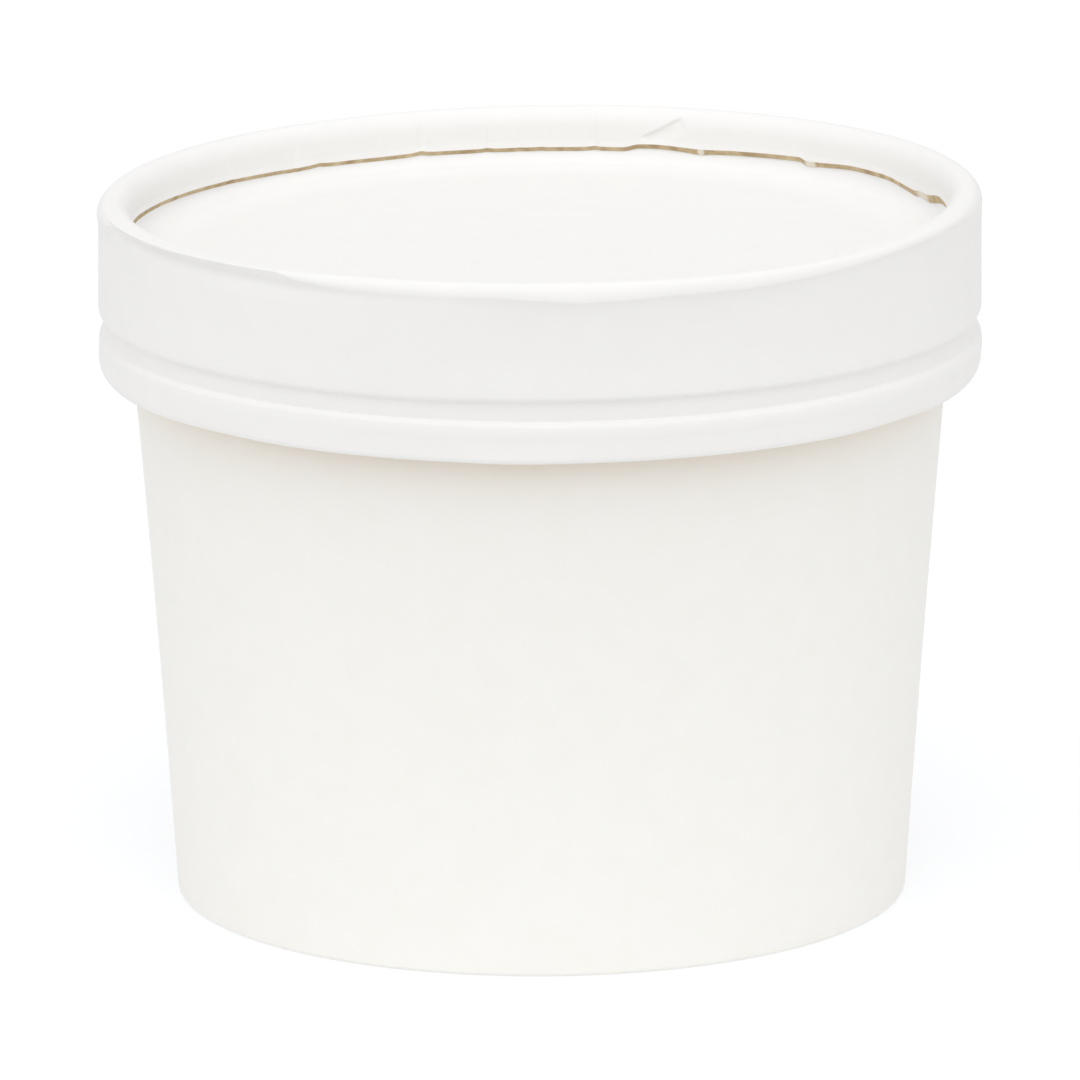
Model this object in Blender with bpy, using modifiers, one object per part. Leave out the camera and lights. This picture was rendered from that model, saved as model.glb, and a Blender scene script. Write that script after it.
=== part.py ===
"""Paper soup cup, shut by its paper lid.

The cup is a tapered, slightly waisted paperboard wall with a base disc set up into the foot.
The lid is a paperboard band, rolled over at the rim and down its inner side, that grips a
recessed panel.  Every piece is turned about +Z.  The origin is the centre of the foot, where
the cup stands, and the front of the cup faces -Y.  Units are metres.
"""
import math

import bpy

MM = 0.001

# Driving dimensions of the lid
LID_RADIUS = 50.0 * MM          # outside of the skirt
CROWN_Z = 80.5 * MM             # top of the rolled rim above the foot
CROWN_SHOULDER = 2.0 * MM       # outer shoulder of the rim, across
CROWN_DROP = 2.6 * MM           # and down
CROWN_INNER_ROUND = 1.4 * MM    # inner shoulder of the rim
RIM_BORE_RADIUS = 46.1 * MM     # inner face of the rim, round the recess
RAW_EDGE_Z = 75.3 * MM          # lowest point of the band's turned-in edge
SKIRT_FOOT_Z = 60.3 * MM        # underside of the lid's lower hem
GROOVE_DEPTH = 0.65 * MM        # how far the groove over the hem is pressed in
GROOVE_LIP_Z = 67.7 * MM        # where the skirt starts to turn into the groove
GROOVE_TOP_Z = 66.2 * MM        # top of the groove's floor
GROOVE_FLOOR_Z = 65.15 * MM     # foot of the groove's floor
BEAD_TOP_Z = 64.1 * MM          # where the hem is back at the skirt's radius
HEM_THICKNESS = 2.8 * MM        # folded hem, across
HEM_DROP = 2.0 * MM             # height of the hem's rounded outer foot
HEM_SLOT_HEIGHT = 2.9 * MM      # open slot between the hem and the cup wall
PANEL_Z = 74.0 * MM             # top face of the recessed panel
PANEL_FILLET = 2.0 * MM         # inside round between the panel and its flange
FLANGE_SET_BACK = 0.5 * MM      # how far the flange stands behind the turned-in edge
FLANGE_TOP_Z = 76.4 * MM        # top of the panel's flange, up inside the rim
BOARD = 0.5 * MM                # thickness of the base disc and of the panel
TURNED_EDGE = 0.45 * MM         # thickness of the band where it is turned in
RIM_LEAN = 0.75 * MM            # the rim is pushed on higher at +X and lower at -X
LEAN_START_Z = 68.0 * MM        # the band is level below this height
LEAN_FULL_Z = 78.0 * MM         # and leans in full above this one

# Driving dimensions of the cup
FOOT_RADIUS = 41.43 * MM        # outside of the wall, where it meets the table
WALL_REF_RADIUS = 46.0 * MM     # outside of the wall at the reference height
WALL_REF_Z = 61.3 * MM
WALL_BOW = 0.17 * MM            # how far the wall is drawn in at half height
FOOT_RING = 1.7 * MM            # three layers of board rolled together
FOOT_OUTER_ROUND = 0.5 * MM
FOOT_INNER_ROUND = 0.3 * MM
FOOT_HEM_Z = 4.6 * MM           # raw top edge of the hem inside the foot
BASE_Z = 6.1 * MM               # underside of the base disc
BASE_FILLET = 0.9 * MM          # outside round where the base turns down
BASE_FLANGE_Z = 4.9 * MM        # foot of the base's flange, behind the hem
WALL_AT_FLANGE = 0.8 * MM       # wall left outside the base's flange

GAP = 0.3 * MM                  # clearance between neighbouring pieces
STEPS = 72                      # flats round each turned piece
WALL_STEPS = 8
ROUND_STEPS = 4

MODEL_NAME = "paper_soup_cup"


def wall_radius(z):
    """Outside radius of the cup wall at height z: a straight taper less a shallow bow."""
    share = z / WALL_REF_Z
    taper = FOOT_RADIUS + (WALL_REF_RADIUS - FOOT_RADIUS) * share
    bow = WALL_BOW * 4.0 * share * max(0.0, 1.0 - share)
    return taper - bow


def arc(centre_r, centre_z, radius_r, radius_z, start_deg, end_deg, steps=ROUND_STEPS):
    """Points along an elliptical arc in the (r, z) plane, both ends included."""
    points = []
    for step in range(steps + 1):
        angle = math.radians(start_deg + (end_deg - start_deg) * step / steps)
        r = centre_r + radius_r * math.cos(angle)
        z = centre_z + radius_z * math.sin(angle)
        points.append((r, z))
    return points


def round_corner(centre_r, centre_z, radius, start_deg, end_deg, steps=ROUND_STEPS):
    """Points along a circular arc in the (r, z) plane."""
    return arc(centre_r, centre_z, radius, radius, start_deg, end_deg, steps)


def wall_points(top_z, foot_z, offset=0.0):
    """Points down the cup wall, set off from it by the offset."""
    points = []
    for step in range(WALL_STEPS + 1):
        z = top_z + (foot_z - top_z) * step / WALL_STEPS
        points.append((wall_radius(z) + offset, z))
    return points


def cup_body_profile():
    """Solid of the filled cup, with the recess of its foot open below."""
    top_z = PANEL_Z - BOARD - GAP
    ring_inner = FOOT_RADIUS - FOOT_RING
    recess_radius = wall_radius(FOOT_HEM_Z) - WALL_AT_FLANGE
    recess_z = BASE_Z + BOARD + GAP
    outer_round_r = wall_radius(FOOT_OUTER_ROUND) - FOOT_OUTER_ROUND
    points = [(0.0, top_z)]
    points += wall_points(top_z, FOOT_OUTER_ROUND)
    points += round_corner(outer_round_r, FOOT_OUTER_ROUND, FOOT_OUTER_ROUND, 0, -90)[1:]
    points += round_corner(
        ring_inner + FOOT_INNER_ROUND, FOOT_INNER_ROUND, FOOT_INNER_ROUND, -90, -180, 3
    )
    points += [
        (ring_inner, FOOT_HEM_Z),
        (recess_radius, FOOT_HEM_Z),
        (recess_radius, recess_z),
        (0.0, recess_z),
    ]
    return points


def cup_base_profile():
    """Base disc whose flange turns down behind the hem of the foot."""
    flange_outer = wall_radius(FOOT_HEM_Z) - WALL_AT_FLANGE - GAP
    flange_inner = flange_outer - BOARD
    top_z = BASE_Z + BOARD
    outer_round = BASE_FILLET + BOARD
    points = [(0.0, top_z)]
    points += round_corner(flange_outer - outer_round, top_z - outer_round, outer_round, 90, 0)
    points += [(flange_outer, BASE_FLANGE_Z), (flange_inner, BASE_FLANGE_Z)]
    points += round_corner(flange_inner - BASE_FILLET, BASE_Z - BASE_FILLET, BASE_FILLET, 0, 90)
    points += [(0.0, BASE_Z)]
    return points


def flange_inner_radius():
    """Inner face of the panel's flange, behind the turned-in edge of the band."""
    return RIM_BORE_RADIUS + TURNED_EDGE + FLANGE_SET_BACK


def lid_panel_profile():
    """Recessed panel: a disc whose edge turns up through a fillet into a flange."""
    flange_inner = flange_inner_radius()
    flange_outer = flange_inner + BOARD
    centre_r = flange_inner - PANEL_FILLET
    centre_z = PANEL_Z + PANEL_FILLET
    points = [(0.0, PANEL_Z)]
    points += round_corner(centre_r, centre_z, PANEL_FILLET, -90, 0)
    points += [(flange_inner, FLANGE_TOP_Z), (flange_outer, FLANGE_TOP_Z)]
    points += round_corner(centre_r, centre_z, PANEL_FILLET + BOARD, 0, -90)
    points += [(0.0, PANEL_Z - BOARD)]
    return points


def skirt_points():
    """Outer side of the band: crown, skirt, groove and the hem's rounded foot."""
    lip_round = 1.5 * MM
    hem_round = 1.0 * MM
    shoulder_r = LID_RADIUS - CROWN_SHOULDER
    points = arc(shoulder_r, CROWN_Z - CROWN_DROP, CROWN_SHOULDER, CROWN_DROP, 90, 0, 6)
    points += round_corner(LID_RADIUS - lip_round, GROOVE_LIP_Z, lip_round, 0, -45, 2)
    points += [
        (LID_RADIUS - GROOVE_DEPTH, GROOVE_TOP_Z),
        (LID_RADIUS - GROOVE_DEPTH, GROOVE_FLOOR_Z),
        (LID_RADIUS, BEAD_TOP_Z),
    ]
    hem_foot = SKIRT_FOOT_Z + HEM_DROP
    points += arc(LID_RADIUS - hem_round, hem_foot, hem_round, HEM_DROP, 0, -90)
    return points


def band_bore_points():
    """Inner side of the band from the hem up to the slot that holds the panel's flange."""
    hem_inner = LID_RADIUS - HEM_THICKNESS
    hem_inner_round = 0.6 * MM
    slot_z = SKIRT_FOOT_Z + HEM_SLOT_HEIGHT
    ledge_z = PANEL_Z - BOARD
    slot_outer = flange_inner_radius() + BOARD + GAP
    points = round_corner(
        hem_inner + hem_inner_round, SKIRT_FOOT_Z + hem_inner_round, hem_inner_round, -90, -180, 3
    )
    points += [
        (hem_inner, slot_z),
        (wall_radius(slot_z) + GAP, slot_z),
        (wall_radius(ledge_z) + GAP, ledge_z),
        (slot_outer, PANEL_Z + BOARD),
        (slot_outer, FLANGE_TOP_Z + GAP),
    ]
    return points


def turned_edge_points():
    """The band's turned-in edge: down from the slot, round the raw edge and up the bore."""
    edge_outer = RIM_BORE_RADIUS + TURNED_EDGE
    raw_edge_height = 0.5 * MM
    points = [
        (edge_outer, FLANGE_TOP_Z + GAP),
        (edge_outer, RAW_EDGE_Z),
        (edge_outer - 0.15 * MM, RAW_EDGE_Z),
        (RIM_BORE_RADIUS, RAW_EDGE_Z + raw_edge_height),
    ]
    points += round_corner(
        RIM_BORE_RADIUS + CROWN_INNER_ROUND, CROWN_Z - CROWN_INNER_ROUND, CROWN_INNER_ROUND, 180, 90
    )
    return points


def lid_band_profile():
    """Closed section of the lid's band."""
    return skirt_points() + band_bore_points() + turned_edge_points()


def paper_material(name, colour, roughness):
    """Paperboard in one colour."""
    material = bpy.data.materials.new(name)
    material.use_nodes = True
    shader = material.node_tree.nodes["Principled BSDF"]
    shader.inputs["Base Color"].default_value = (*colour, 1.0)
    shader.inputs["Roughness"].default_value = roughness
    shader.inputs["Metallic"].default_value = 0.0
    material.diffuse_color = (*colour, 1.0)
    return material


def lean_rim(mesh):
    """Lift the upper lid at +X and lower it at -X, fading out down the skirt."""
    for vertex in mesh.vertices:
        rise = (vertex.co.z - LEAN_START_Z) / (LEAN_FULL_Z - LEAN_START_Z)
        rise = min(1.0, max(0.0, rise))
        weight = rise * rise * (3.0 - 2.0 * rise)
        vertex.co.z += RIM_LEAN * weight * vertex.co.x / LID_RADIUS


def turned_object(name, profile, closed, material, collection):
    """Turn a profile about Z with a Screw modifier, then lean the result."""
    edges = [(index, index + 1) for index in range(len(profile) - 1)]
    if closed:
        edges.append((len(profile) - 1, 0))
    section = bpy.data.meshes.new(name + "_section")
    section.from_pydata([(r, 0.0, z) for r, z in profile], edges, [])
    turned = bpy.data.objects.new(name, section)
    collection.objects.link(turned)

    screw = turned.modifiers.new("turn", "SCREW")
    screw.axis = "Z"
    screw.angle = math.tau
    screw.steps = STEPS
    screw.render_steps = STEPS
    screw.use_merge_vertices = True
    screw.merge_threshold = 0.00001

    depsgraph = bpy.context.evaluated_depsgraph_get()
    mesh = bpy.data.meshes.new_from_object(turned.evaluated_get(depsgraph))
    mesh.name = name
    turned.modifiers.clear()
    turned.data = mesh
    bpy.data.meshes.remove(section)

    lean_rim(mesh)
    mesh.materials.append(material)
    mesh.shade_smooth()
    mesh.set_sharp_from_angle(angle=math.radians(35.0))
    return turned


def clear_scene():
    for scene_object in list(bpy.data.objects):
        bpy.data.objects.remove(scene_object, do_unlink=True)


def build_cup():
    collection = bpy.data.collections.new(MODEL_NAME)
    bpy.context.scene.collection.children.link(collection)

    wall_paper = paper_material("cup_paper", (0.90, 0.885, 0.855), 0.5)
    base_paper = paper_material("base_paper", (0.88, 0.865, 0.83), 0.6)
    band_paper = paper_material("band_paper", (0.90, 0.90, 0.89), 0.5)
    panel_paper = paper_material("panel_paper", (0.89, 0.885, 0.87), 0.55)

    turned_object("cup_body", cup_body_profile(), False, wall_paper, collection)
    turned_object("cup_base", cup_base_profile(), False, base_paper, collection)
    turned_object("lid_band", lid_band_profile(), True, band_paper, collection)
    turned_object("lid_panel", lid_panel_profile(), False, panel_paper, collection)


clear_scene()
build_cup()
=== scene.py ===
import math

import bmesh
import bpy
import numpy as np
from mathutils import Matrix, Vector


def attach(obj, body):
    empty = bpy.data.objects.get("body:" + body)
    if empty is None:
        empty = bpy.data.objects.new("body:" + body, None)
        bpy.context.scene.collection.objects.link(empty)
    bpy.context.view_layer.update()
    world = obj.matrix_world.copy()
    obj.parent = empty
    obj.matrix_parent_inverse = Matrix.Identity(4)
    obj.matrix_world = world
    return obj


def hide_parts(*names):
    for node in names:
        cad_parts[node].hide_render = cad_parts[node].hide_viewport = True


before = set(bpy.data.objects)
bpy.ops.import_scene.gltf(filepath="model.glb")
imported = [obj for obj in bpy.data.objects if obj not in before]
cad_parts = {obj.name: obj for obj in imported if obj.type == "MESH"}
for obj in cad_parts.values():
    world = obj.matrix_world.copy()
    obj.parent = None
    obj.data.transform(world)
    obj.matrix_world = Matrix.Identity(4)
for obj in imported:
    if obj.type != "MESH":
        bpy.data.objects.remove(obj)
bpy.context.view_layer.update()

# A shut paper soup cup.  The pieces are sheets of paperboard turned about +Z and then pushed
# about by hand-sized faults: a lap joint, pleats in the rolled rim, a wandering cut edge.
# Lengths in this file are millimetres; surfaces turn into metres when they become meshes.
# Directions are degrees round the axis, from +X towards +Y, so that the front is at -90.

MM = 0.001
RANDOM = np.random.default_rng(47)

# ---------------------------------------------------------------- sizes of the lid
LID_RADIUS = 50.0
SKIRT_RADIUS = 49.86         # the skirt, with room for its waves inside the lid's radius
CROWN_Z = 80.46
CROWN_SHOULDER = 2.0         # outer shoulder of the rolled rim, across
CROWN_DROP = 2.6             # and down
TIGHT_SHOULDER = 0.7         # outer shoulder where the roll is pressed tight, across
TIGHT_DROP = 0.8             # and down
CROWN_ROUND_IN = 1.7         # inner round of the rim, across
CROWN_FALL_IN = 2.3          # and down
BORE_RADIUS = 46.1           # inner face of the rolled rim
BORE_START_Z = 76.45         # foot of its straight stretch
CUT_FOOT_Z = 75.33           # foot of the raw edge of the turned-in layer
CUT_HEIGHT = 0.50            # raw edge, from its foot to its bleached face
CUT_FOOT_BACK = 0.12         # its foot lies this far behind the bore
CUT_TOP_PROUD = 0.10         # and its top stands this far in front of it
LAYER = 0.28                 # thickness of the turned-in layer where it is pressed
LAYER_TOP_Z = 76.2
POCKET_TOP_Z = 76.6          # pocket for the panel's flange, behind that layer
FOLLOW_START_Z = CUT_FOOT_Z + 0.6   # above this the bore follows the raw edge less and less
FOLLOW_END_Z = 78.2          # and above this not at all
WHOLLY_FOLLOWS = 0.97        # share from which a row counts as the layer's foot
SKIRT_END_Z = 67.7           # lower end of the plain skirt
LIP_ROUND = 1.0              # round of the lip over the groove
GROOVE_DEPTH = 0.73          # floor of the groove, in from the lid's radius
SKIRT_FOOT_Z = 60.3
FOOT_IN = 1.0                # outer round of the hem's foot, across
FOOT_UP = 2.0                # and up
FULL_IN = 0.45               # the same where the hem is full, across
FULL_UP = 0.7                # and up
HEM_THICKNESS = 2.8
HEM_ROUND = 0.7              # inner round of the hem's foot
HEM_RAKE = 0.05              # the foot's inner side is this much higher
SLOT_TOP_Z = 63.2            # roof of the open slot behind the hem
WALL_PLAY = 0.3              # room between the band and the cup's wall
FLANGE_PLAY = 0.2            # room between the band and the panel's flange
PANEL_Z = 74.0
PANEL_FILLET = 1.9
PANEL_BOARD = 0.5
PANEL_SAG = 0.05             # the panel sags by this much in the middle
PANEL_SAG_RADIUS = 40.0
PANEL_WAVES_R = (8.0, 30.0, 32.0, 44.0)     # where its waves start, are whole, ease and end
FLANGE_RADIUS = 46.45        # inner face of the panel's flange, behind the turned-in layer
FLANGE_TOP_Z = 76.4
RIM_LEAN = 0.75              # the rim sits this much higher at +X and lower at -X
LEAN_START_Z = 68.0
LEAN_FULL_Z = 78.0
RIM_DIP = 0.65               # a pressed-down stretch of the rim, front right
RIM_DIP_DIRECTION = -55.0
RIM_DIP_WIDTH = 32.0
RIM_DIP_START_Z = 74.8
RIM_DIP_FULL_Z = 79.0

# ---------------------------------------------------------------- sizes of the cup
FOOT_RADIUS = 41.43
FOOT_ROUND = 0.5
WALL_REF_RADIUS = 46.0
WALL_REF_Z = 61.3
WALL_BOW = 0.17
WALL_TOP_Z = 73.2
WALL_R = (40.9, 41.2)        # the wall's faults start and are whole at these radii
WALL_Z = (0.2, 1.4)          # and at these heights
FOOT_RING = 1.7
FOOT_RING_ROUND = 0.3
FOOT_HEM_Z = 4.6
BASE_Z = 6.1
BASE_BOARD = 0.5
BASE_FILLET = 0.9
BASE_FLANGE_FOOT_Z = 4.9
BASE_PLAY = 0.3              # room round and above the base disc
WALL_BEHIND_BASE = 0.8

# ---------------------------------------------------------------- lap joints
LAP_THICKNESS = 0.33         # a lap stands out by this much
BAND_LAP_EDGE = 66.0         # cut end of the outer layer of the lid's band
BAND_LAP_WIDTH = 13.3        # the layer below it ends this much further round
BAND_LAP_EASE = 3.0          # and the lap is gone this much further still
WALL_LAP_EDGE = 97.0         # cut end of the cup wall's outer layer
WALL_LAP_WIDTH = 10.5
WALL_LAP_EASE = 3.5

# ---------------------------------------------------------------- forms of the band
# Groove and upper edge of the bead: distance out from the groove's floor, and height.  The
# edge is crisp at the front, where the hem is full
GROOVE = ((0.02, 66.65), (-0.03, 66.4), (-0.02, 66.0))
BEAD_EDGE = ((0.02, 65.6), (0.09, 65.2), (0.15, 65.0), (0.22, 64.84), (0.32, 64.65), (0.44, 64.45))
CRISP_EDGE = ((0.0, 65.6), (0.0, 65.2), (0.02, 64.98), (0.20, 64.82), (0.39, 64.63), (0.51, 64.45))

# Bead and the flat below it: distance out from the skirt, and height
BEAD = ((-0.06, 64.25), (0.0, 64.0), (0.03, 63.7), (0.05, 63.35), (0.03, 62.9), (0.01, 62.6))

# Degrees from the front up to which the hem is full, and beyond which it is slim
FULL_HEM = (50.0, 88.0)

# Where each stretch of the band begins and where it is whole, by radius or by height
OUTSIDE_R = (48.6, 49.3)
OVERHANG_R = (48.0, 48.6)
UNDER_CREASE_R = (49.3, 49.7)
BORE_R = (47.2, 46.5)
CREASE_R = (48.0, 46.8)
SKIRT_TOP_Z = (79.4, 80.3)
CROWN_FOOT_Z = (78.6, 80.2)
BORE_FOOT_Z = (75.0, 76.0)
CREASE_FOOT_Z = (75.6, 76.4)
PLEAT_TOP_Z = (80.0, 78.4)
OVERHANG_FOOT_Z = (64.2, 65.0)
OVERHANG_EASE_Z = (72.0, 67.0)

# Where the band's columns are crowded: direction, degrees from it where the crowding begins
# and where it is whole, and how many more columns stand there
CROWDED = (
    (95.0, 75.0, 60.0, 1.6),     # the pleats and the raw edge at the back
    (72.0, 6.5, 4.5, 5.0),       # the slanting crease
)

# Unevenness round the axis: height, fewest and most waves, and how fast they grow smaller
SKIRT_WAVES = (0.035, 2, 6, 1.0)
CROWN_WAVES = (0.025, 3, 16, 0.6)
BORE_WAVES = (0.020, 4, 30, 0.5)
EDGE_FRAY = (0.012, 12, 60, 0.3)
PANEL_WAVES = (0.05, 2, 4, 1.0)
WALL_WAVES = (0.05, 2, 6, 1.0)
CALM_BACK = (90.0, 40.0)     # direction and half width of the stretch without skirt waves

# Pleats pressed into the inside of the rim: direction, how far each lifts the raw edge,
# half width in degrees, and depth
PLEATS = (
    (164.0, 0.00, 1.2, 0.05),
    (140.2, 0.02, 1.6, 0.06),
    (128.0, -0.06, 1.4, 0.12),
    (123.5, 0.13, 1.3, 0.05),
    (107.3, 0.15, 1.3, 0.16),
    (97.5, 0.07, 1.3, 0.14),
    (92.8, 0.01, 1.0, 0.08),
    (89.7, 0.03, 1.0, 0.08),
    (81.9, 0.10, 1.5, 0.15),
    (60.5, 0.00, 1.2, 0.05),
    (52.0, 0.00, 1.2, 0.05),
)
FOLD_SHARE = 0.3             # the fold is this share of the pleat's width
RIDGE_SHARE = 0.35           # a ridge beside it has this share of its depth
RIDGE_OFFSET = 0.8
RIDGE_WIDTH = 0.6

# Raw edge inside the rim.  Its climbs towards -X and +X: height, direction where each starts,
# and the degrees that it takes
LEFT_CLIMB = (0.62, 128.0, 36.0)
RIGHT_CLIMB = (0.53, 66.0, 33.0)
CLIMB_OVERRUN = 1.15         # the left one goes on past its span

# Steps of the raw edge on the way round to +X: height, and the directions where each begins
# and where it is whole
EDGE_STEPS = (
    (0.20, 84.0, 66.0),
    (0.36, 77.9, 75.3),      # up on to the hump where the lapped stretch rides up
    (-0.36, 73.5, 65.5),     # and down from it
    (-0.33, 49.4, 47.9),     # step down beyond the lap
    (0.33, 47.2, 38.0),
    (-0.50, 31.5, 22.0),     # dip in front of the torn flap
    (0.24, 21.3, 20.7),
    (0.85, 18.0, 9.0),       # torn flap near the +X end
)
EDGE_HUMPS = ((-0.08, 114.5, 4.0), (0.32, 177.0, 8.0))   # height, direction, half width
EDGE_FADE = (0.0, -50.0)     # past +X, climbs and steps are eased away between these

# Where the raw edge is taller than its plain height: by how much, direction and half width
TALL_EDGE = (
    (0.08, 168.0, 16.0),
    (0.26, 175.0, 8.0),
    (0.12, 66.4, 1.8),
    (0.16, 47.5, 1.2),
    (0.34, 14.5, 6.5),
)
TALL_STEP = ((0.05, 80.0, 70.0),)    # and a little all the way past the lap, as a step

# Slanting crease inside the rim: direction and height of its two ends
CREASE_FROM = (74.9, 77.0)
CREASE_TO = (69.5, 79.45)
CREASE_DEPTH = 0.30
CREASE_LENGTH = (-0.12, 0.10, 0.92, 1.12)    # starts, whole, easing, gone: shares of its run
CREASE_DROP = (-0.10, 0.14, 0.3, 2.2)        # the same for its depth, in millimetres below it
CREASE_RIDGE = 0.06
CREASE_RIDGE_PLACE = (-0.25, 0.45)           # centre and half width of the ridge along it

# How tight the outer shoulder of the rim is round the lid: direction, share of a tight roll
TIGHTNESS = (
    (-180, 0.5), (-170, 0.75), (-163, 1.22), (-147, 1.25), (-142, 1.36), (-125.5, 1.36),
    (-122.5, 0.98), (-120, 0.86), (-115, 0.63), (-104, 0.56),
    (-95, 0.62), (-90, 0.43), (-85, 0.28), (-80, 0.36), (-74, 0.54), (-62, 0.58), (-50, 0.78),
    (-38, 0.98), (-20, 1.0), (-8, 0.45), (10, 0.25), (45, 0.12), (80, 0.0), (118, 0.0), (126, 0.12),
    (140, 0.4), (180, 0.5),
)

# How far the roll overhangs the skirt, in millimetres: direction, close under the roll, and
# spread over the upper skirt where it was pushed in
OVERHANG = (
    (-180, 0.14, 0.05), (-168, 0.30, 0.06), (-160, 0.62, 0.06), (-148, 0.56, 0.06),
    (-134, 0.46, 0.05), (-124, 0.32, 0.03), (-114, 0.20, 0.05), (-102, 0.10, 0.14),
    (-97, 0.20, 0.40), (-88, 0.22, 0.52), (-70, 0.22, 0.48), (-55, 0.22, 0.36), (-40, 0.22, 0.28),
    (-26, 0.22, 0.22), (-12, 0.14, 0.12), (0, 0.05, 0.03), (40, 0.0, 0.0), (140, 0.0, 0.0),
    (180, 0.14, 0.05),
)
OVERHANG_CLOSE_DROP = 0.8    # each of the two comes in over this height below the roll
OVERHANG_WIDE_DROP = 3.0
OVERHANG_CLOSE_FADE = 6.0    # the close one fades again over this height
OVERHANG_WIDE_LOSS = 0.5     # the wide one loses this share on its way down

# Crease under the rim on the -X side, where the roll was pinched: direction, height, depth
# and half width
UNDER_CREASE = (
    (-180.0, 80.0, 0.0, 0.42), (-168.0, 80.0, 0.0, 0.42), (-163.0, 80.0, 0.30, 0.42),
    (-157.0, 79.93, 0.52, 0.42), (-148.0, 79.62, 0.50, 0.46), (-141.0, 79.32, 0.44, 0.52),
    (-133.5, 79.15, 0.45, 0.60), (-126.5, 78.85, 0.33, 0.62), (-120.0, 78.75, 0.20, 0.58),
    (-110.0, 78.75, 0.10, 0.46), (-98.0, 78.7, 0.0, 0.42), (180.0, 80.0, 0.0, 0.42),
)
UNDER_CREASE_SPREAD = 1.8    # its lower side is this many times as wide
UNDER_CREASE_TOP_Z = CROWN_Z - 0.1

# Where the hem stands back: depth, direction, half width, height and half height
HEM_DENTS = (
    (0.14, 180.0, 60.0, 63.4, 1.0),     # the bead, on the -X side
    (0.06, -90.0, 60.0, 62.5, 0.7),     # a slight waist between the bead and the foot
)
FOOT_WAVES = ((0.10, -93.0, 6.0), (-0.14, -137.0, 10.0), (-0.17, -36.0, 7.0))
FOOT_WAVES_Z = (61.4, 60.5)  # they begin and are whole at these heights

# ---------------------------------------------------------------- sizes of the patterns
PULP_CLOUD = 4.0
BOARD_FIBRE = 0.35           # real fibres are finer; drawn as coarse as they need to show
KRAFT_CLOUD = 1.6
KRAFT_GRAIN = 0.15
KRAFT_GRAIN_DEPTH = 0.03

# Places along the raw edge where the bleached face covers the core: direction, height, reach
DRAGGED_FIBRES = (
    (159.0, 76.2, 0.5),
    (66.0, 76.0, 0.55),
    (47.3, 76.1, 1.1),
    (18.8, 76.6, 2.3),
)
DRAGGED_COVER = 0.85         # how well such a fibre hides the core

# ---------------------------------------------------------------- light
# Direction, power and level of each softbox, and the glow of the floor
DAYLIGHT = (0.99, 1.0, 1.017, 1.0)
SOFTBOXES = (
    ((0.0, 0.0, 1.0), 0.02, 0.61),
    ((0.0, 0.0, 1.0), 8.0, 0.84),
    ((0.0, -0.5, 0.87), 12.0, 1.10),
    ((0.0, -0.82, 0.57), 12.0, 1.47),
    ((-1.0, 0.0, 0.3), 6.0, 0.55),
    ((1.0, 0.0, 0.3), 6.0, 0.42),
    ((0.0, 1.0, 0.3), 4.0, 0.15),
)
FLOOR_FRONT = 0.32
FLOOR_BEHIND = 0.57
FLOOR_CHANGE = (-170.0, -80.0)      # the glow changes between these two lines across Y
FLOOR_HALF = 3000.0
FLOOR_DROP = 0.05            # the floor lies a hair below the cup's foot
FLOOR_GREY = (0.42, 0.42, 0.42, 1.0)

# ---------------------------------------------------------------- fineness of the meshes
BAND_COLUMNS = 710
WALL_COLUMNS = 420
PANEL_COLUMNS = 360
SKIRT_ROWS = 34
SKIRT_CROWDING = 1.7         # power that draws the skirt's rows up towards the crown
FINE_SAMPLES = 7201          # directions in which the spacing of columns is added up
HAIR = 0.00015               # radians from a cut end to the columns on its two sides
SAME_POINT = 1e-6
WELD = 1e-7                  # metres
SHARP_ANGLE = 40.0


# ---------------------------------------------------------------- small mathematics
def smooth(value, low, high):
    """0 below low, 1 above high, and the cubic 3t^2 - 2t^3 between them."""
    t = np.clip((value - low) / (high - low), 0.0, 1.0)
    return t * t * (3.0 - 2.0 * t)


def falling(value, high, low):
    """0 above high, 1 below low, and the same cubic between them."""
    return smooth(-value, -high, -low)


def plateau(value, start, whole, easing, gone):
    """Up from 0 at start to 1 where it is whole, and back to 0 between easing and gone."""
    return smooth(value, start, whole) * (1.0 - smooth(value, easing, gone))


def bell(value, centre, width):
    """Bell curve exp(-d^2 / width^2), where d is the distance from the centre."""
    return np.exp(-(((value - centre) / width) ** 2))


def turn(angle):
    """Angle brought into -pi to pi."""
    return (angle + math.pi) % math.tau - math.pi


def bell_at(phi, degrees, width_degrees):
    """Bell curve round the axis, centred on a direction in degrees."""
    away = np.degrees(turn(phi - math.radians(degrees)))
    return np.exp(-((away / width_degrees) ** 2))


def bumps(phi, table):
    """Sum of bell curves round the axis, one for each height, direction and half width."""
    return sum(height * bell_at(phi, direction, width) for height, direction, width in table)


def steps(degrees, table):
    """Sum of steps round the axis, one for each height and pair of directions: nothing
    above the first direction, and the whole height below the second."""
    return sum(height * falling(degrees, first, second) for height, first, second in table)


def round_rim(degrees, table, column):
    """One column of a table, on straight lines between the directions in its first column."""
    values = np.array(table)
    return np.interp(degrees, values[:, 0], values[:, column])


def ripple(phi, size, lowest, highest, roughness):
    """Periodic unevenness of a given size: a sum of cosines of k turns, each with a random
    phase and a height that falls as k to the power of -roughness."""
    orders = np.arange(lowest, highest + 1)
    phases = RANDOM.uniform(0.0, math.tau, orders.size)
    heights = RANDOM.normal(0.0, 1.0, orders.size) / orders**roughness
    waves = heights[:, None] * np.cos(orders[:, None] * phi[None, :] + phases[:, None])
    total = waves.sum(axis=0)
    return size * total / np.abs(total).max()


def arc(centre_r, centre_z, radius_r, radius_z, start, end, count):
    """Ellipse arc: centre plus radius times cosine and sine of an angle in degrees."""
    angle = np.radians(np.linspace(start, end, count))
    r = centre_r + radius_r * np.cos(angle)
    z = centre_z + radius_z * np.sin(angle)
    return np.column_stack([r, z])


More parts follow.
